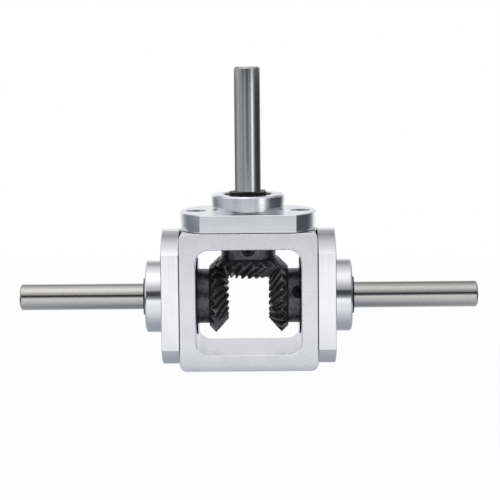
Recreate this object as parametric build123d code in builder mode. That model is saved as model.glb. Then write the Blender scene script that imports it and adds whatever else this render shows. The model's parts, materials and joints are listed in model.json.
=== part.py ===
from build123d import *
import os
from math import acos, atan, cos, log, pi, radians, sin, tan

# Right angle gearbox with three shafts. Lengths are in millimetres and angles in degrees.
# Every station (top, left and right) is drawn once in its own frame: its Z runs outward along the
# shaft from the point where the three shaft axes cross, and its Y is the depth of the housing.

# Housing, a length of square tube section
housing_width = 42.0
housing_depth = 30.0
wall = 5.0
outer_corner = 2.2
window_corner = 4.0
edge_break = 0.2

# Bearing seat
flange_inset = 0.2
flats_inset = 0.1
flange_thickness = 5.5
hub_diameter = 22.2
hub_chamfer = 0.5
pilot_diameter = 23.7
pilot_reach = 0.5
screw_edge = 4.8

# Shafts
shaft_diameter = 8.0
shaft_tip = 70.5
shaft_chamfer = 0.5
shaft_nose = 0.3
set_screw_flat = 0.4
flat_margin = 0.5

# Ball bearings. Shares are of the radial space between the shaft and the bearing's outside
bearing_diameter = 16.0
bearing_width = 5.0
bearing_recess = 0.1
bearing_gap = 2.8
ball_share = 0.6
ball_count = 7
race_shoulder_share = 0.125
cage_share = 0.125
cage_width = 1.5
seal_thickness = 0.4
seal_recess = 0.1
seal_bite_share = 0.15

# Retaining ring, washer and sleeve. Shares are of the same radial space
circlip_thickness = 0.8
circlip_share = 0.425
groove_depth = 0.2
circlip_gap = 1.6
lug_place_share = 0.475
lug_share = 0.55
lug_hole_share = 0.25
shim_thickness = 0.3
sleeve_wall = 1.3

# Screws
screw_diameter = 3.0
screw_length = 5.0
head_diameter = 5.5
head_height = 3.0
head_socket = 2.5
set_screw_diameter = 4.0
set_screw_length = 4.0
set_screw_socket = 2.0
socket_depth = 1.6

# Spiral bevel gears, three alike in size
teeth = 20
heel_module = 1.07
tooth_length = 5.9
spiral_angle = 35.0
normal_pressure_angle = 20.0
addendum_share = 0.8
tip_clearance_share = 0.18
backlash = 0.08
gear_hub_diameter = 16.8
gear_hub_length = 6.3
gear_back_depth = 2.0
gear_chamfer = 0.3
space_sections = 6
flank_points = 5
cutter_overrun = 0.6

# Clearances, measured on the radius or along the axis
slide_fit = 0.02
running_fit = 0.04
head_clearance = 0.3
hole_clearance = 0.15
gear_hub_clearance = 0.4
axial_play = 0.05
tap_overrun = 0.4

# Pitch cones of mating gears with equal tooth counts and crossed axes stand at 45 degrees
pitch_angle = radians(45)
heel_distance = heel_module * teeth / 2 / sin(pitch_angle)
toe_distance = heel_distance - tooth_length
mean_distance = heel_distance - tooth_length / 2
addendum = addendum_share * heel_module
dedendum = addendum + tip_clearance_share * heel_module
tooth_step = 360 / teeth
odd_shift = teeth % 2 * tooth_step / 2

# Places along a station's axis, from the crossing of the shafts. The gear is placed by its pitch
# cone and the bearings stand behind it, so the hub outside the flange is as tall as they need.
gear_back = heel_distance * cos(pitch_angle) + gear_back_depth * sin(pitch_angle)
gear_hub_end = gear_back + gear_hub_length
set_screw_height = gear_back + gear_hub_length / 2
inboard_base = gear_hub_end + shim_thickness
inboard_top = inboard_base + bearing_width
outboard_base = inboard_top + bearing_gap
outboard_top = outboard_base + bearing_width
hub_top = outboard_top + bearing_recess
flange_base = housing_width / 2
flange_top = flange_base + flange_thickness
pilot_nose = flange_base - wall - pilot_reach
screw_seat = flange_top - head_height
screw_tip = screw_seat - screw_length

# Sizes that follow from what a piece fits in or sits on
flange_diameter = housing_width - 2 * flange_inset
flats_width = housing_depth - 2 * flats_inset
screw_spacing = flange_diameter - 2 * screw_edge
gear_recess_diameter = gear_hub_diameter + 2 * gear_hub_clearance
sleeve_diameter = shaft_diameter + 2 * sleeve_wall
race_space = (bearing_diameter - shaft_diameter) / 2
circlip_diameter = shaft_diameter + 2 * circlip_share * race_space
lug_centre = shaft_diameter / 2 + lug_place_share * race_space
lug_diameter = lug_share * race_space
lug_reach = lug_centre + lug_diameter / 2
lug_hole = lug_hole_share * race_space
ball_circle = (shaft_diameter + bearing_diameter) / 4
ball_diameter = ball_share * race_space
race_shoulder = race_shoulder_share * race_space
cage_thickness = cage_share * race_space
seal_bite = seal_bite_share * race_space

CROSSING = (0, 0, housing_width / 2)
STATIONS = {
    "top": Plane(origin=CROSSING, x_dir=(1, 0, 0), z_dir=(0, 0, 1)),
    "right": Plane(origin=CROSSING, x_dir=(0, 0, -1), z_dir=(1, 0, 0)),
    "left": Plane(origin=CROSSING, x_dir=(0, 0, 1), z_dir=(-1, 0, 0)),
}

# The top gear's teeth wind one way and both side gears' the other. A tooth of the top gear stands
# in a space of each side gear. The set screws and ring gaps face where they were left at assembly.
SPIRAL_HAND = {"top": 1, "right": -1, "left": -1}
FIRST_SPACE = {"top": tooth_step / 2, "right": odd_shift, "left": odd_shift}
SET_SCREW_ANGLE = {"top": -90, "right": -106, "left": 90}
CIRCLIP_ANGLE = {"top": 64, "right": 80, "left": 100}


def cone_point(distance, height):
    """Radius and axial place of a point at a cone distance and a height off the pitch cone."""
    radius = distance * sin(pitch_angle) + height * cos(pitch_angle)
    along = distance * cos(pitch_angle) - height * sin(pitch_angle)
    return radius, along


def involute(angle):
    return tan(angle) - angle


def ring(inner_radius, outer_radius, start, end):
    """Plain ring about the station's axis."""
    with BuildPart() as piece:
        with BuildSketch(Plane.XY.offset(start)):
            Circle(outer_radius)
            Circle(inner_radius, mode=Mode.SUBTRACT)
        extrude(amount=end - start)
    return piece.part


def housing():
    bore_radius = pilot_diameter / 2 + running_fit
    tap_depth = flange_base - screw_tip + tap_overrun
    window_width = housing_width - 2 * wall
    with BuildPart() as piece:
        with BuildSketch(Plane(origin=CROSSING, x_dir=(1, 0, 0), z_dir=(0, -1, 0))):
            RectangleRounded(housing_width, housing_width, outer_corner)
            RectangleRounded(window_width, window_width, window_corner, mode=Mode.SUBTRACT)
        extrude(amount=housing_depth / 2, both=True)
        rims = piece.faces().group_by(Axis.Y)
        chamfer([*rims[0].edges(), *rims[-1].edges()], edge_break)
        for plane in STATIONS.values():
            with BuildSketch(plane.offset(flange_base)):
                Circle(bore_radius)
            extrude(amount=-(wall + pilot_reach), mode=Mode.SUBTRACT)
            with BuildSketch(plane.offset(flange_base)):
                with GridLocations(screw_spacing, 0, 2, 1):
                    Circle(screw_diameter / 2 + slide_fit)
            extrude(amount=-tap_depth, mode=Mode.SUBTRACT)
    return piece.part


def bearing_seat():
    bearing_radius = bearing_diameter / 2 + slide_fit
    shoulder_radius = bearing_diameter / 2 - race_shoulder - seal_bite
    with BuildPart() as piece:
        with BuildSketch(Plane.XY.offset(flange_base)):
            Circle(flange_diameter / 2)
            Rectangle(flange_diameter, flats_width, mode=Mode.INTERSECT)
        extrude(amount=flange_thickness)
        chamfer(piece.faces().sort_by(Axis.Z)[-1].edges(), edge_break)
        with BuildSketch(Plane.XY.offset(flange_top)):
            Circle(hub_diameter / 2)
        extrude(amount=hub_top - flange_top)
        chamfer(piece.faces().sort_by(Axis.Z)[-1].edges(), hub_chamfer)
        with BuildSketch(Plane.XY.offset(pilot_nose)):
            Circle(pilot_diameter / 2)
        extrude(amount=flange_base - pilot_nose)
        for start, end, radius in (
            (outboard_base, hub_top, bearing_radius),
            (inboard_top, outboard_base, shoulder_radius),
            (inboard_base, inboard_top, bearing_radius),
            (pilot_nose, inboard_base, gear_recess_diameter / 2),
        ):
            with BuildSketch(Plane.XY.offset(start)):
                Circle(radius)
            extrude(amount=end - start, mode=Mode.SUBTRACT)
        chamfer(piece.faces().sort_by(Axis.Z)[-1].edges().sort_by(SortBy.RADIUS)[0], edge_break)
        with Locations(Plane.XY.offset(flange_top)):
            with GridLocations(screw_spacing, 0, 2, 1):
                CounterBoreHole(
                    radius=screw_diameter / 2 + hole_clearance,
                    counter_bore_radius=head_diameter / 2 + head_clearance,
                    counter_bore_depth=head_height,
                    depth=flange_top - screw_tip,
                )
    return piece.part


def flange_screws():
    with BuildPart() as piece:
        with BuildSketch(Plane.XY.offset(screw_tip)):
            with GridLocations(screw_spacing, 0, 2, 1):
                Circle(screw_diameter / 2)
        extrude(amount=screw_length)
        with BuildSketch(Plane.XY.offset(screw_seat)):
            with GridLocations(screw_spacing, 0, 2, 1):
                Circle(head_diameter / 2)
        extrude(amount=head_height)
        tops = piece.faces().group_by(Axis.Z)[-1]
        chamfer(tops.edges(), edge_break)
        with BuildSketch(Plane.XY.offset(flange_top)):
            with GridLocations(screw_spacing, 0, 2, 1):
                RegularPolygon(head_socket / 2, 6, major_radius=False)
        extrude(amount=-socket_depth, mode=Mode.SUBTRACT)
    return piece.part


def shaft(screw_angle):
    radius = shaft_diameter / 2
    nose = cone_point(toe_distance, -dedendum * toe_distance / heel_distance)[1] - shaft_nose
    flat = Plane.XY.rotated((0, 0, screw_angle)).location
    flat_length = set_screw_diameter + 2 * flat_margin
    with BuildPart() as piece:
        with BuildSketch(Plane.XY.offset(nose)):
            Circle(radius)
        extrude(amount=shaft_tip - nose)
        chamfer(piece.faces().sort_by(Axis.Z)[-1].edges(), shaft_chamfer)
        chamfer(piece.faces().sort_by(Axis.Z)[0].edges(), edge_break)
        with BuildSketch(Plane.XY.offset(outboard_top)):
            Circle(shaft_diameter)
            Circle(radius - groove_depth, mode=Mode.SUBTRACT)
        extrude(amount=circlip_thickness + 2 * axial_play, mode=Mode.SUBTRACT)
        with Locations(flat):
            with Locations((radius, 0, set_screw_height)):
                Box(2 * set_screw_flat, shaft_diameter, flat_length, mode=Mode.SUBTRACT)
    return piece.part


def set_screw(angle):
    """The screw bears on the flat of the shaft and stays below the surface of the gear's hub."""
    axis = Plane(origin=(0, 0, set_screw_height), z_dir=Vector(1, 0, 0).rotate(Axis.Z, angle))
    tip = shaft_diameter / 2 - set_screw_flat
    with BuildPart() as piece:
        with BuildSketch(axis.offset(tip)):
            Circle(set_screw_diameter / 2)
        extrude(amount=set_screw_length)
        with BuildSketch(axis.offset(tip + set_screw_length)):
            RegularPolygon(set_screw_socket / 2, 6, major_radius=False)
        extrude(amount=-socket_depth, mode=Mode.SUBTRACT)
    return piece.part


def space_plane(distance, hand):
    """Plane across a tooth space, square to the pitch cone, turned by the spiral of the teeth."""
    turn = hand * tan(radians(spiral_angle)) / sin(pitch_angle) * log(distance / mean_distance)
    outward = Vector(cos(turn), sin(turn), 0)
    along = outward * sin(pitch_angle) + Vector(0, 0, cos(pitch_angle))
    return Plane(origin=along * distance, x_dir=(sin(turn), -cos(turn), 0), z_dir=along)


def space_outline(distance):
    """Involute flanks of the spur gear that stands for the teeth at this cone distance."""
    scale = distance / heel_distance
    pitch_radius = distance * tan(pitch_angle)
    pressure_angle = atan(tan(radians(normal_pressure_angle)) / cos(radians(spiral_angle)))
    base_radius = pitch_radius * cos(pressure_angle)
    half_space = pi * cos(pitch_angle) / 2 / teeth + backlash * scale / 4 / pitch_radius
    root_radius = pitch_radius - dedendum * scale
    rim_radius = pitch_radius + (addendum + cutter_overrun) * scale
    flank = []
    for step in range(flank_points):
        radius = root_radius + (rim_radius - root_radius) * step / (flank_points - 1)
        half_angle = half_space - involute(pressure_angle) + involute(acos(base_radius / radius))
        flank.append((radius * sin(half_angle), radius * cos(half_angle) - pitch_radius))
    with BuildSketch() as outline:
        with BuildLine():
            right = Spline(*flank)
            left = Spline(*[(-across, height) for across, height in flank])
            Line(right @ 0, left @ 0)
            Line(right @ 1, left @ 1)
        make_face()
    return outline.sketch


def tooth_space(hand):
    start = toe_distance - cutter_overrun
    step = (tooth_length + 2 * cutter_overrun) / (space_sections - 1)
    with BuildPart() as space:
        for index in range(space_sections):
            distance = start + index * step
            with BuildSketch(space_plane(distance, hand)):
                add(space_outline(distance))
        loft()
    return space.part


def bevel_gear(hand, first_space, screw_angle):
    bore_radius = shaft_diameter / 2 + slide_fit
    toe_tip = cone_point(toe_distance, addendum * toe_distance / heel_distance)
    toe_root = cone_point(toe_distance, -dedendum * toe_distance / heel_distance)
    heel_tip = cone_point(heel_distance, addendum)
    heel_back = cone_point(heel_distance, -gear_back_depth)
    hub_radius = gear_hub_diameter / 2
    screw_axis = Plane(
        origin=(0, 0, set_screw_height),
        z_dir=Vector(1, 0, 0).rotate(Axis.Z, screw_angle),
    )
    with BuildPart() as piece:
        with BuildSketch(Plane.XZ):
            with BuildLine():
                Polyline(
                    (bore_radius, toe_root[1]),
                    toe_root,
                    toe_tip,
                    heel_tip,
                    heel_back,
                    (hub_radius, heel_back[1]),
                    (hub_radius, gear_hub_end - gear_chamfer),
                    (hub_radius - gear_chamfer, gear_hub_end),
                    (bore_radius, gear_hub_end),
                    close=True,
                )
            make_face()
        revolve(axis=Axis.Z)
        with BuildSketch(screw_axis):
            Circle(set_screw_diameter / 2 + slide_fit)
        extrude(amount=hub_radius + gear_chamfer, mode=Mode.SUBTRACT)
        with PolarLocations(0, teeth, start_angle=first_space):
            add(tooth_space(hand), mode=Mode.SUBTRACT)
    return piece.part


def race_groove(centre):
    """Torus that the balls run in, a little larger than the balls."""
    with BuildPart() as groove:
        with BuildSketch(Plane.XZ):
            with Locations((ball_circle, centre)):
                Circle(ball_diameter / 2 + running_fit)
        revolve(axis=Axis.Z)
    return groove.part


def inner_race(base):
    with BuildPart() as piece:
        add(ring(shaft_diameter / 2 + slide_fit, inner_land_radius(), base, base + bearing_width))
        add(race_groove(base + bearing_width / 2), mode=Mode.SUBTRACT)
    return piece.part


def inner_land_radius():
    return ball_circle - ball_diameter / 2 + race_shoulder


def outer_land_radius():
    return ball_circle + ball_diameter / 2 - race_shoulder


def outer_race(base):
    seal_depth = seal_recess + seal_thickness
    with BuildPart() as piece:
        add(ring(outer_land_radius(), bearing_diameter / 2, base, base + bearing_width))
        add(race_groove(base + bearing_width / 2), mode=Mode.SUBTRACT)
        for start in (base, base + bearing_width - seal_depth):
            with BuildSketch(Plane.XY.offset(start)):
                Circle(outer_land_radius() + seal_bite)
            extrude(amount=seal_depth, mode=Mode.SUBTRACT)
    return piece.part


def seals(base):
    """One seal for each side, held in the outer race and clear of the inner race."""
    inner_radius = inner_land_radius() + running_fit
    outer_radius = outer_land_radius() + seal_bite - slide_fit
    lower = base + seal_recess
    upper = base + bearing_width - seal_recess - seal_thickness
    with BuildPart() as piece:
        add(ring(inner_radius, outer_radius, lower, lower + seal_thickness))
        add(ring(inner_radius, outer_radius, upper, upper + seal_thickness))
    return piece.part


def ball_cage(base):
    centre = base + bearing_width / 2
    with BuildPart() as piece:
        add(ring(
            ball_circle - cage_thickness / 2,
            ball_circle + cage_thickness / 2,
            centre - cage_width / 2,
            centre + cage_width / 2,
        ))
        with Locations(Plane.XY.offset(centre)):
            with PolarLocations(ball_circle, ball_count):
                Sphere(ball_diameter / 2)
    return piece.part


def circlip(angle):
    base = outboard_top + axial_play
    lug_offset = (circlip_gap + lug_diameter) / 2
    lugs = [(lug_centre, lug_offset), (lug_centre, -lug_offset)]
    with BuildPart() as piece:
        with BuildSketch(Plane.XY.rotated((0, 0, angle)).offset(base)):
            Circle(circlip_diameter / 2)
            with Locations(*lugs):
                Circle(lug_diameter / 2)
            Circle(shaft_diameter / 2 - groove_depth + slide_fit, mode=Mode.SUBTRACT)
            with Locations((lug_reach / 2, 0)):
                Rectangle(lug_reach, circlip_gap, mode=Mode.SUBTRACT)
            with Locations(*lugs):
                Circle(lug_hole / 2, mode=Mode.SUBTRACT)
        extrude(amount=circlip_thickness)
    return piece.part


def shim_washer():
    return ring(shaft_diameter / 2 + slide_fit, sleeve_diameter / 2, gear_hub_end, inboard_base)


def spacer_sleeve():
    return ring(shaft_diameter / 2 + slide_fit, sleeve_diameter / 2, inboard_top, outboard_base)


def write(piece, name):
    piece.label = name
    export_step(piece, f"parts/{name}.step")


os.makedirs("parts", exist_ok=True)
write(housing(), "housing")
for side, plane in STATIONS.items():
    pieces = {
        "bearing_seat": bearing_seat(),
        "flange_screws": flange_screws(),
        "shaft": shaft(SET_SCREW_ANGLE[side]),
        "bevel_gear": bevel_gear(SPIRAL_HAND[side], FIRST_SPACE[side], SET_SCREW_ANGLE[side]),
        "set_screw": set_screw(SET_SCREW_ANGLE[side]),
        "circlip": circlip(CIRCLIP_ANGLE[side]),
        "shim_washer": shim_washer(),
        "spacer_sleeve": spacer_sleeve(),
    }
    for bearing, base in (("outboard", outboard_base), ("inboard", inboard_base)):
        pieces[f"{bearing}_outer_race"] = outer_race(base)
        pieces[f"{bearing}_inner_race"] = inner_race(base)
        pieces[f"{bearing}_ball_cage"] = ball_cage(base)
        pieces[f"{bearing}_seals"] = seals(base)
    for name, piece in pieces.items():
        write(piece.moved(plane.location), f"{side}_{name}")
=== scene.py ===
import json
from math import cos, pi, radians, sin

import bmesh
import bpy
from mathutils import Matrix, Vector


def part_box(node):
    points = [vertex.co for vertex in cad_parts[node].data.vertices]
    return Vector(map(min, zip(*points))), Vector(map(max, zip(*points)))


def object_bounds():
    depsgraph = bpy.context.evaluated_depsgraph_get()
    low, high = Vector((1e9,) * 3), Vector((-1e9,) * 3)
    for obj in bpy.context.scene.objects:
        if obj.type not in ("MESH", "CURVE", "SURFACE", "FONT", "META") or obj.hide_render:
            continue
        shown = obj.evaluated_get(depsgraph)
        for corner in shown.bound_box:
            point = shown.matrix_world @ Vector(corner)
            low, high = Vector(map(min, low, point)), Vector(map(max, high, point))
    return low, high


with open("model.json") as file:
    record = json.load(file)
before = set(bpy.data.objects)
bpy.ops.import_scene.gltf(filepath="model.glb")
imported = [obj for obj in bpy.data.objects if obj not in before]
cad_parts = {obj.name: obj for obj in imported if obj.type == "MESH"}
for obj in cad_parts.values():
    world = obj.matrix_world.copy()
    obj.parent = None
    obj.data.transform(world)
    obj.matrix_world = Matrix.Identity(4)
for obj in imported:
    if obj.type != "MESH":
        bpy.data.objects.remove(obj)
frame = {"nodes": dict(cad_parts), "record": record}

# Right angle gearbox on a plain studio floor. Lengths are in metres unless a name says otherwise.
CAD_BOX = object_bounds()
CROSSING = Vector((0, 0, (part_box("housing")[0].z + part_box("housing")[1].z) / 2))
MM_PER_M = 1000
UM_PER_M = 1e6

# Camera, fitted to the edges of the housing, the flanges and the shafts
IMAGE_SIZE = 500
FOCAL_PIXELS = 1852.4
CAMERA_PLACE = CROSSING + Vector((0.0027, -0.5666, 0.0871))
CAMERA_PITCH = radians(7.334)
CAMERA_YAW = radians(-0.223)
CAMERA_ROLL = radians(-0.521)
CAMERA_NEAR = 0.01

# Soft lamp above and in front, and the even light from all round
LAMP_DISTANCE = 1.0
LAMP_ELEVATION = radians(72)
LAMP_DEPTH = 0.62
LAMP_WIDTH = 1.2
LAMP_LEVEL = 1.15
AMBIENT_LEVEL = 0.6

# Floor, which shows white with a faint shadow round the object
FLOOR_RADIUS = 3.0
FLOOR_WHITE = 0.85
SHADOW_SHARE = 0.04
SHADOW_START = 0.10
SHADOW_REACH = 0.30

# Ring of grey cards, which widens up to the split and stands upright above it
CARD_FOOT_RADIUS = 0.33
CARD_RADIUS = 0.45
CARD_SPLIT = 0.078
CARD_TOP = 0.221
RING_SIDES = 96
# Heights at which one table of levels passes into the next, and half the height of each passage
FOOT_TOP = 0.014
FOOT_BLEND = 0.002
GAP_START = 0.025
GAP_BLEND = 0.005
SPLIT_BLEND = 0.004

# Grey levels of the cards by azimuth in degrees: 0 is towards the camera and 90 is to the right.
# These are the levels from the foot to the split.
LOW_CARDS = (
    (-180, 0.80), (-150, 0.50), (-135, 0.20), (-118, 0.24), (-100, 0.52), (-84, 0.56),
    (-68, 0.44), (-54, 0.50), (-40, 0.34), (-26, 0.44), (-12, 0.58), (2, 0.62), (14, 0.50),
    (26, 0.36), (33, 0.55), (38, 1.30), (43, 1.50), (49, 1.50), (53, 0.95), (60, 0.40),
    (67, 0.22), (76, 0.08), (116, 0.05), (136, 0.10), (152, 0.50), (180, 0.80),
)
# The same at the foot, which the top flange's round ends show
FOOT_CARDS = (
    (-180, 1.0), (-150, 0.80), (-136, 0.34), (-120, 0.20), (-92, 0.20), (-78, 0.50), (-40, 0.50),
    (0, 0.62), (40, 0.50), (62, 0.30), (76, 0.10), (118, 0.08), (132, 0.22), (148, 0.90),
    (180, 1.0),
)
# The same above the split, dark in front for the stripe along the side shafts
HIGH_CARDS = (
    (-180, 0.85), (-100, 0.70), (-60, 0.40), (-45, 0.05), (45, 0.05), (60, 0.30), (100, 0.30),
    (180, 0.85),
)
# Share of the low levels that is left above the gap's start, which widens that stripe in front
FRONT_GAP = ((-180, 1.0), (-15, 1.0), (-9, 0.35), (9, 0.35), (15, 1.0), (180, 1.0))

# Grey levels overhead in reflections, by elevation from the front horizon to the back one
SKY = (
    (0, 0.40), (28, 0.44), (38, 0.60), (54, 1.00), (66, 1.22), (80, 1.18), (98, 0.84),
    (112, 0.70), (124, 0.50), (134, 0.34), (150, 0.50), (180, 0.50),
)
# Share of them on the left and on the right, and the direction's X by which it is reached
SKY_LEFT = 1.04
SKY_RIGHT = 0.77
SKY_HALF_WIDTH = 0.09

# Painted shadow: grey levels of the floor in reflections, darkest under the object, by distance in
# millimetres from under the shafts. Along the shafts, distance counts for a fifth.
FLOOR_SHADES = (
    (0, 0.34), (10, 0.38), (17, 0.54), (24, 0.70), (35, 0.82), (57, 0.86), (129, 1.0), (300, 1.0),
)
FLOOR_STRETCH = (0.2 * MM_PER_M, MM_PER_M, 0)
# Painted shade: share of the floor's levels by azimuth in degrees, darker to the sides, and the
# distances between which it sets in
FLOOR_SIDES = (
    (-180, 1.0), (-145, 1.0), (-125, 0.15), (-90, 0.15), (-70, 1.0), (60, 1.0), (80, 0.08),
    (125, 0.08), (150, 1.0), (180, 1.0),
)
SIDES_START = 0.08
SIDES_REACH = 0.14
# Dark reflections are a little blue
SHADE_TINT = (0.86, 0.95, 1.08)
WHITE = (1, 1, 1)

# Millimetres along a shaft's axis: the flange's foot stands on the housing, with a painted shade line
# just outside, and the pilot ends in the window, where its end carries painted shade
SEAM_FOOT = 1000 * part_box("housing")[1].x
SHADE_LINE_START = SEAM_FOOT - 0.05
SHADE_LINE_END = SEAM_FOOT + 0.21
SHADE_LINE_BLEND = 0.05
WALL = 5.0
PILOT_END = SEAM_FOOT - WALL + 0.06
PILOT_SHADE_BLEND = 0.04
# Colour of the painted shade line at the flange's foot and of the painted shade on the pilot's end
PAINTED_SHADE_COLOUR = (0.02, 0.02, 0.022, 1)

# Lighter edges, part wear and part painted highlight, are full at this cosine between the rounded and
# the flat surface. On the gears they are painted glints, which grow between two distances from the
# shaft's axis, and only a share of them is left inside them.
WEAR_AND_GLINT_COSINE = 0.93
HEEL_START_MM = 9.8
HEEL_FULL_MM = 10.8
INNER_GLINT = 0.22

# Grains a metre, and how much finer detail each kind of noise has
METAL_GRAINS = 3200.0
RUBBER_GRAINS = 2500.0
GRAIN_DETAIL = 2.0
MARK_DETAIL = 3.0
MOTTLE_DETAIL = 4.0
# How fast turning marks change across the axis, and the cosine that tells an end from a round side
MARK_DRIFT = 0.02
END_COSINE = 0.7
# Values between which most of a noise lies
GRAIN_RANGE = (0.3, 0.7)
MOTTLE_RANGE = (0.35, 0.65)
# Rubber of the seals, as for the metals below
RUBBER_TONES = (0.010, 0.020)
RUBBER_ROUGHNESS = (0.5, 0.65)
RUBBER_RELIEF_UM = 6
RUBBER_EDGE_MM = 0.1
# Samples for the soft edges of every finish
BEVEL_SAMPLES = 4

# Metals: two tones, a range of roughness, height of the relief, size of the mottle and radius of
# soft edges. Turned pieces have a spacing of their marks.
BRIGHT_STEEL = {
    "light": (0.74, 0.74, 0.75), "dark": (0.68, 0.68, 0.69), "roughness": (0.08, 0.16),
    "relief_um": 2, "mottle_mm": 2.0, "edge_mm": 0.06, "turned_mm": 0.2,
}
# Painted highlight: the near-white edge colour makes glints along edges, most at the heels of the
# gear teeth
BLACK_OXIDE = {
    "light": (0.145, 0.145, 0.15), "dark": (0.08, 0.08, 0.085), "roughness": (0.24, 0.38),
    "relief_um": 5, "mottle_mm": 1.4, "edge_mm": 0.09, "wear_and_glint": (0.95, 0.95, 0.96),
    "glinting_heels": True, "metallic": 0.75,
}
BLACK_SPRING_STEEL = {
    "light": (0.05, 0.05, 0.055), "dark": (0.025, 0.025, 0.028), "roughness": (0.30, 0.45),
    "relief_um": 6, "mottle_mm": 2.0, "edge_mm": 0.08, "wear_and_glint": (0.15, 0.15, 0.16),
}
METALS = {
    "housing_aluminium": {
        "light": (0.91, 0.90, 0.94), "dark": (0.86, 0.85, 0.89), "roughness": (0.24, 0.34),
        "relief_um": 16, "mottle_mm": 5.0, "edge_mm": 0.03,
    },
    "seat_aluminium": {
        "light": (0.94, 0.93, 0.97), "dark": (0.89, 0.88, 0.93), "roughness": (0.09, 0.19),
        # Painted shade at the flange's foot and on the pilot's end
        "relief_um": 3.5, "mottle_mm": 7.0, "edge_mm": 0.08, "turned_mm": 0.22, "painted_seams": True,
    },
    "shaft_steel": {
        "light": (0.61, 0.60, 0.585), "dark": (0.565, 0.555, 0.54), "roughness": (0.09, 0.15),
        "relief_um": 1.5, "mottle_mm": 0.7, "edge_mm": 0.08, "turned_mm": 0.22,
    },
    "gear_black_oxide": BLACK_OXIDE,
    "screw_steel": BLACK_OXIDE,
    "set_screw_steel": BLACK_SPRING_STEEL,
    "circlip_steel": BLACK_SPRING_STEEL,
    "race_steel": BRIGHT_STEEL,
    "ball_steel": BRIGHT_STEEL,
}
RUBBER_SLOT = "seal_rubber"

# Sockets of the mix node by kind: first input, second input and output
MIX_SOCKETS = {"FLOAT": (2, 3, 0), "VECTOR": (4, 5, 1), "RGBA": (6, 7, 2)}


def link_or_set(tree, socket, value):
    if isinstance(value, bpy.types.NodeSocket):
        tree.links.new(value, socket)
    else:
        socket.default_value = value


def maths(tree, operation, first, second=0.0):
    node = tree.nodes.new("ShaderNodeMath")
    node.operation = operation
    link_or_set(tree, node.inputs[0], first)
    link_or_set(tree, node.inputs[1], second)
    return node.outputs[0]


def vector_maths(tree, operation, first, second=None):
    node = tree.nodes.new("ShaderNodeVectorMath")
    node.operation = operation
    link_or_set(tree, node.inputs[0], first)
    if second is not None:
        link_or_set(tree, node.inputs["Scale" if operation == "SCALE" else 1], second)
    return node.outputs["Value" if operation in ("DOT_PRODUCT", "LENGTH") else "Vector"]


def parts_of(tree, vector):
    """Outputs X, Y and Z of a vector."""
    node = tree.nodes.new("ShaderNodeSeparateXYZ")
    tree.links.new(vector, node.inputs[0])
    return node.outputs


def blend(tree, share, first, second, kind="FLOAT"):
    """First where share is 0, second where it is 1."""
    node = tree.nodes.new("ShaderNodeMix")
    node.data_type = kind
    first_input, second_input, output = MIX_SOCKETS[kind]
    for index, value in ((0, share), (first_input, first), (second_input, second)):
        link_or_set(tree, node.inputs[index], value)
    return node.outputs[output]


def fit(tree, value, from_low, from_high, to_low, to_high):
    node = tree.nodes.new("ShaderNodeMapRange")
    link_or_set(tree, node.inputs["Value"], value)
    for name, number in (
        ("From Min", from_low), ("From Max", from_high), ("To Min", to_low), ("To Max", to_high),
    ):
        node.inputs[name].default_value = number
    return node.outputs["Result"]


def step(tree, value, middle, half_width):
    """0 below the middle and 1 above it, with a slope between."""
    return fit(tree, value, middle - half_width, middle + half_width, 0, 1)


def ramp(tree, value, stops):
    """Colours along stops of (place, colour), where a single number is a grey."""
    node = tree.nodes.new("ShaderNodeValToRGB")
    link_or_set(tree, node.inputs["Fac"], value)
    elements = node.color_ramp.elements
    elements.remove(elements[1])
    for index, (place, colour) in enumerate(stops):
        element = elements[0] if index == 0 else elements.new(place)
        element.position = place
        element.color = (*colour, 1) if isinstance(colour, tuple) else (colour, colour, colour, 1)
    return node.outputs["Color"]


def spread(stops):
    """The same stops with their places brought to 0 to 1."""
    low, high = stops[0][0], stops[-1][0]
    return [((place - low) / (high - low), level) for place, level in stops]


def object_place(tree):
    return tree.nodes.new("ShaderNodeTexCoord").outputs["Object"]


def noise(tree, vector, scale, detail):
    node = tree.nodes.new("ShaderNodeTexNoise")
    link_or_set(tree, node.inputs["Vector"], vector)
    node.inputs["Scale"].default_value = scale
    node.inputs["Detail"].default_value = detail
    return node.outputs["Fac"]


def new_material(name):
    material = bpy.data.materials.new(name)
    material.use_nodes = True
    tree = material.node_tree
    tree.nodes.clear()
    output = tree.nodes.new("ShaderNodeOutputMaterial")
    return material, tree, output.inputs["Surface"]


def emission(tree, colour):
    node = tree.nodes.new("ShaderNodeEmission")
    link_or_set(tree, node.inputs["Color"], colour)
    return node.outputs["Emission"]


def mix_shaders(tree, share, first, second):
    node = tree.nodes.new("ShaderNodeMixShader")
    link_or_set(tree, node.inputs[0], share)
    tree.links.new(first, node.inputs[1])
    tree.links.new(second, node.inputs[2])
    return node.outputs[0]


def make_camera():
    ahead = Vector((
        sin(CAMERA_YAW) * cos(CAMERA_PITCH),
        cos(CAMERA_YAW) * cos(CAMERA_PITCH),
        -sin(CAMERA_PITCH),
    ))
    level = Vector((cos(CAMERA_YAW), -sin(CAMERA_YAW), 0))
    upright = level.cross(ahead)
    right = cos(CAMERA_ROLL) * level + sin(CAMERA_ROLL) * upright
    up = cos(CAMERA_ROLL) * upright - sin(CAMERA_ROLL) * level
    data = bpy.data.cameras.new("camera")
    data.lens = FOCAL_PIXELS / IMAGE_SIZE * data.sensor_width
    data.clip_start = CAMERA_NEAR
    camera = bpy.data.objects.new("camera", data)
    turn = Matrix((right, up, -ahead)).transposed().to_4x4()
    camera.matrix_world = Matrix.Translation(CAMERA_PLACE) @ turn
    bpy.context.collection.objects.link(camera)
    bpy.context.scene.camera = camera


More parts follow.
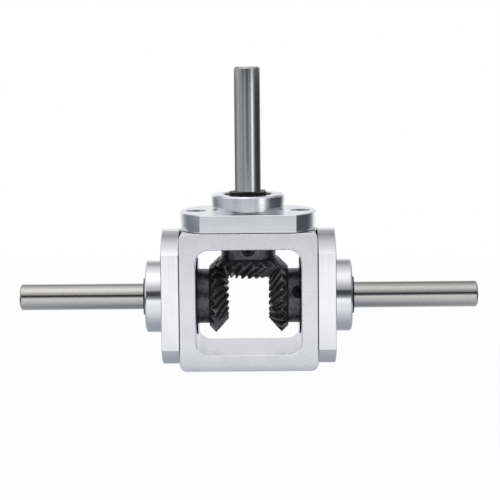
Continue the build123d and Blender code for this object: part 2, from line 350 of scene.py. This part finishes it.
def make_lamp():
    """Lamp that lights the object but doesn't show in its reflections."""
    towards = Vector((0, -cos(LAMP_ELEVATION), sin(LAMP_ELEVATION)))
    data = bpy.data.lights.new("soft_lamp", "AREA")
    data.shape = "RECTANGLE"
    data.size = LAMP_WIDTH
    data.size_y = LAMP_DEPTH
    data.energy = LAMP_LEVEL * pi * LAMP_WIDTH * LAMP_DEPTH
    lamp = bpy.data.objects.new("soft_lamp", data)
    lamp.location = CROSSING + towards * LAMP_DISTANCE
    lamp.rotation_euler = towards.to_track_quat("Z", "Y").to_euler()
    lamp.visible_glossy = False
    bpy.context.collection.objects.link(lamp)


def make_world():
    """White to the camera, the sky's levels in reflections, and even light elsewhere."""
    world = bpy.data.worlds.new("studio")
    world.use_nodes = True
    tree = world.node_tree
    tree.nodes.clear()
    output = tree.nodes.new("ShaderNodeOutputWorld")
    background = tree.nodes.new("ShaderNodeBackground")
    rays = tree.nodes.new("ShaderNodeLightPath").outputs
    direction = parts_of(tree, tree.nodes.new("ShaderNodeTexCoord").outputs["Generated"])
    towards_front = maths(tree, "MULTIPLY", direction["Y"], -1.0)
    angle = maths(tree, "ARCTAN2", direction["Z"], towards_front)
    sky = ramp(tree, maths(tree, "DIVIDE", angle, pi), spread(SKY))
    side = fit(tree, direction["X"], -SKY_HALF_WIDTH, SKY_HALF_WIDTH, SKY_LEFT, SKY_RIGHT)
    sky = maths(tree, "MULTIPLY", sky, side)
    ambient = maths(tree, "MULTIPLY", maths(tree, "MAXIMUM", sky, 1.0), AMBIENT_LEVEL)
    level = blend(tree, rays["Is Glossy Ray"], ambient, sky)
    seen = maths(tree, "MAXIMUM", rays["Is Camera Ray"], rays["Is Transmission Ray"])
    tree.links.new(blend(tree, seen, level, 1.0), background.inputs["Strength"])
    background.inputs["Color"].default_value = (*WHITE, 1)
    tree.links.new(background.outputs[0], output.inputs["Surface"])
    bpy.context.scene.world = world


def cool_shade(tree, level):
    """Grey of a level whose darker end is a little blue."""
    colour = blend(tree, level, SHADE_TINT, WHITE, "VECTOR")
    return vector_maths(tree, "SCALE", colour, level)


def azimuth_share(tree, place):
    """Azimuth of a place from 0 to 1, where a half is towards the camera and more is to the right."""
    parts = parts_of(tree, place)
    towards_front = maths(tree, "MULTIPLY", parts["Y"], -1.0)
    azimuth = maths(tree, "ARCTAN2", parts["X"], towards_front)
    return fit(tree, azimuth, -pi, pi, 0, 1)


def mesh_object(name, shape):
    mesh = bpy.data.meshes.new(name)
    shape.to_mesh(mesh)
    shape.free()
    result = bpy.data.objects.new(name, mesh)
    bpy.context.collection.objects.link(result)
    return result


def stage_material(stage_object):
    """Material of the object's own name, which isn't sampled as a lamp."""
    material, tree, surface = new_material(stage_object.name)
    material.cycles.emission_sampling = "NONE"
    stage_object.data.materials.append(material)
    return tree, surface


def make_floor():
    """Floor that the camera sees white and shadowed, and reflections see in painted greys of shadow
    and shade.
    """
    shape = bmesh.new()
    bmesh.ops.create_circle(shape, cap_ends=True, segments=RING_SIDES, radius=FLOOR_RADIUS)
    floor = mesh_object("floor", shape)
    floor.location.z = CAD_BOX[0].z
    tree, surface = stage_material(floor)
    rays = tree.nodes.new("ShaderNodeLightPath").outputs
    place = object_place(tree)
    away = vector_maths(tree, "LENGTH", vector_maths(tree, "MULTIPLY", place, (1, 1, 0)))
    diffuse = tree.nodes.new("ShaderNodeBsdfDiffuse")
    diffuse.inputs["Color"].default_value = (FLOOR_WHITE, FLOOR_WHITE, FLOOR_WHITE, 1)
    glow = fit(tree, away, SHADOW_START, SHADOW_REACH, 1 - SHADOW_SHARE, 1)
    glow_share = maths(tree, "MULTIPLY", rays["Is Camera Ray"], glow)
    seen = mix_shaders(tree, glow_share, diffuse.outputs[0], emission(tree, (*WHITE, 1)))
    # Painted shadow under the object and painted shade to the sides, seen only in reflections
    under = vector_maths(tree, "LENGTH", vector_maths(tree, "MULTIPLY", place, FLOOR_STRETCH))
    reach = FLOOR_SHADES[-1][0]
    shade = ramp(tree, maths(tree, "DIVIDE", under, reach), spread(FLOOR_SHADES))
    side = ramp(tree, azimuth_share(tree, place), spread(FLOOR_SIDES))
    side_share = fit(tree, away, SIDES_START, SIDES_REACH, 0, 1)
    shade = maths(tree, "MULTIPLY", shade, blend(tree, side_share, 1.0, side))
    reflected = emission(tree, cool_shade(tree, shade))
    tree.links.new(mix_shaders(tree, rays["Is Glossy Ray"], seen, reflected), surface)


def make_cards():
    """Ring of grey cards round the object. Only reflections show it, and it casts no shadow."""
    shape = bmesh.new()
    bands = (
        (0, CARD_SPLIT, CARD_FOOT_RADIUS, CARD_RADIUS),
        (CARD_SPLIT, CARD_TOP, CARD_RADIUS, CARD_RADIUS),
    )
    for foot, top, foot_radius, top_radius in bands:
        bmesh.ops.create_cone(
            shape, segments=RING_SIDES, radius1=foot_radius, radius2=top_radius, depth=top - foot,
            matrix=Matrix.Translation((0, 0, (foot + top) / 2)))
    cards = mesh_object("cards", shape)
    for kind in ("camera", "diffuse", "transmission", "volume_scatter", "shadow"):
        setattr(cards, f"visible_{kind}", False)
    tree, surface = stage_material(cards)
    place = object_place(tree)
    height = parts_of(tree, place)["Z"]
    azimuth = azimuth_share(tree, place)
    foot_level, low_level, high_level, gap = [
        ramp(tree, azimuth, spread(stops))
        for stops in (FOOT_CARDS, LOW_CARDS, HIGH_CARDS, FRONT_GAP)
    ]
    low_level = blend(tree, step(tree, height, FOOT_TOP, FOOT_BLEND), foot_level, low_level)
    gap = blend(tree, step(tree, height, GAP_START, GAP_BLEND), 1.0, gap)
    low_level = maths(tree, "MULTIPLY", low_level, gap)
    level = blend(tree, step(tree, height, CARD_SPLIT, SPLIT_BLEND), low_level, high_level)
    tree.links.new(emission(tree, cool_shade(tree, level)), surface)


def soft_edges(tree, radius, height, distance):
    """Surface direction with soft edges and fine relief from a height, and without the relief."""
    bevel = tree.nodes.new("ShaderNodeBevel")
    bevel.samples = BEVEL_SAMPLES
    bevel.inputs["Radius"].default_value = radius
    bump = tree.nodes.new("ShaderNodeBump")
    bump.inputs["Strength"].default_value = 1.0
    bump.inputs["Distance"].default_value = distance
    tree.links.new(height, bump.inputs["Height"])
    tree.links.new(bevel.outputs[0], bump.inputs["Normal"])
    return bump.outputs["Normal"], bevel.outputs[0]


# Mask for lighter edges, part wear and part painted highlight
def edge_wear_and_glint(tree, rounded):
    """Near 1 along edges, where the rounded surface direction turns away from the flat one."""
    geometry = tree.nodes.new("ShaderNodeNewGeometry")
    same = vector_maths(tree, "DOT_PRODUCT", rounded, geometry.outputs["Normal"])
    return fit(tree, same, 1.0, WEAR_AND_GLINT_COSINE, 0, 1)


def station_place(tree, axis):
    """Millimetres along a shaft's axis, millimetres away from it, and the two parts of those."""
    shifted = vector_maths(tree, "SUBTRACT", object_place(tree), tuple(CROSSING))
    parts = parts_of(tree, vector_maths(tree, "MULTIPLY", shifted, (MM_PER_M,) * 3))
    across = [parts[name] for name in "XYZ" if name != axis]
    squares = [maths(tree, "MULTIPLY", value, value) for value in across]
    away = maths(tree, "SQRT", maths(tree, "ADD", *squares))
    return parts[axis], away, across


def turning_marks(tree, axis, spacing_mm):
    """Fine lines left by turning. They run round the axis, on ends and on round sides alike."""
    along, away, across = station_place(tree, axis)
    direction = tuple(1.0 if name == axis else 0.0 for name in "XYZ")
    normal = tree.nodes.new("ShaderNodeNewGeometry").outputs["Normal"]
    facing = maths(tree, "ABSOLUTE", vector_maths(tree, "DOT_PRODUCT", normal, direction))
    place = blend(tree, maths(tree, "GREATER_THAN", facing, END_COSINE), along, away)
    line = tree.nodes.new("ShaderNodeCombineXYZ")
    tree.links.new(maths(tree, "DIVIDE", place, spacing_mm), line.inputs["X"])
    for name, value in zip("YZ", across):
        tree.links.new(maths(tree, "MULTIPLY", value, MARK_DRIFT), line.inputs[name])
    return noise(tree, line.outputs[0], 1.0, MARK_DETAIL)


def painted_seam_shade(tree, axis):
    """Painted shade: a dark line just outside a flange's foot, and on the end of the pilot beside the
    gear.
    """
    along = maths(tree, "ABSOLUTE", station_place(tree, axis)[0])
    foot = fit(tree, along, SHADE_LINE_END - SHADE_LINE_BLEND, SHADE_LINE_END + SHADE_LINE_BLEND, 1, 0)
    above = maths(tree, "GREATER_THAN", along, SHADE_LINE_START)
    end = fit(tree, along, PILOT_END - PILOT_SHADE_BLEND, PILOT_END + PILOT_SHADE_BLEND, 1, 0)
    return maths(tree, "MAXIMUM", maths(tree, "MULTIPLY", foot, above), end)


def heel_glints(tree, axis):
    """Painted glints: most of the lighter edge colour is at the outer ends of the teeth."""
    away = station_place(tree, axis)[1]
    return fit(tree, away, HEEL_START_MM, HEEL_FULL_MM, INNER_GLINT, 1.0)


def surface_shader(tree, surface, colour, roughness, normal):
    shader = tree.nodes.new("ShaderNodeBsdfPrincipled")
    for name, value in (("Base Color", colour), ("Roughness", roughness), ("Normal", normal)):
        tree.links.new(value, shader.inputs[name])
    tree.links.new(shader.outputs[0], surface)
    return shader


def metal(
        name, axis, light, dark, roughness, relief_um, mottle_mm, edge_mm, turned_mm=None,
        painted_seams=False, wear_and_glint=None, glinting_heels=False, metallic=1.0):
    """Bare or blackened metal: colour between two tones, a roughness range and fine relief."""
    material, tree, surface = new_material(name)
    place = object_place(tree)
    if turned_mm:
        grain = turning_marks(tree, axis, turned_mm)
    else:
        grain = noise(tree, place, METAL_GRAINS, GRAIN_DETAIL)
    mottle = noise(tree, place, MM_PER_M / mottle_mm, MOTTLE_DETAIL)
    colour = ramp(tree, mottle, tuple(zip(MOTTLE_RANGE, (dark, light))))
    normal, rounded = soft_edges(tree, edge_mm / MM_PER_M, grain, relief_um / UM_PER_M)
    # Lighter edges, part wear and part painted highlight; on the gears, painted glints at the heels
    if wear_and_glint:
        share = edge_wear_and_glint(tree, rounded)
        if glinting_heels:
            share = maths(tree, "MULTIPLY", share, heel_glints(tree, axis))
        colour = blend(tree, share, colour, (*wear_and_glint, 1), "RGBA")
    # Painted shade at a flange's foot and on the pilot's end
    if painted_seams:
        colour = blend(tree, painted_seam_shade(tree, axis), colour, PAINTED_SHADE_COLOUR, "RGBA")
    rough = fit(tree, grain, *GRAIN_RANGE, *roughness)
    shader = surface_shader(tree, surface, colour, rough, normal)
    shader.inputs["Metallic"].default_value = metallic
    return material


def rubber(name):
    material, tree, surface = new_material(name)
    grain = noise(tree, object_place(tree), RUBBER_GRAINS, GRAIN_DETAIL)
    colour = ramp(tree, grain, tuple(zip(GRAIN_RANGE, RUBBER_TONES)))
    rough = fit(tree, grain, *GRAIN_RANGE, *RUBBER_ROUGHNESS)
    normal = soft_edges(tree, RUBBER_EDGE_MM / MM_PER_M, grain, RUBBER_RELIEF_UM / UM_PER_M)[0]
    surface_shader(tree, surface, colour, rough, normal)
    return material


def finish(slot, axis):
    name = f"{slot}_{axis.lower()}"
    if slot == RUBBER_SLOT:
        return rubber(name)
    return metal(name, axis, **METALS[slot])


def dress_nodes():
    """Every CAD node takes the finish of its material slot, laid out about its own shaft's axis."""
    made = {}
    for subpart in frame["record"]["subparts"]:
        node = frame["nodes"][subpart["node"]]
        slot = subpart["material_slot"]
        axis = "Z" if subpart["node"].startswith("top") else "X"
        if (slot, axis) not in made:
            made[slot, axis] = finish(slot, axis)
        node.data.materials.clear()
        node.data.materials.append(made[slot, axis])


make_camera()
make_lamp()
make_world()
make_floor()
make_cards()
dress_nodes()

bpy.context.scene.view_settings.view_transform = "Standard"
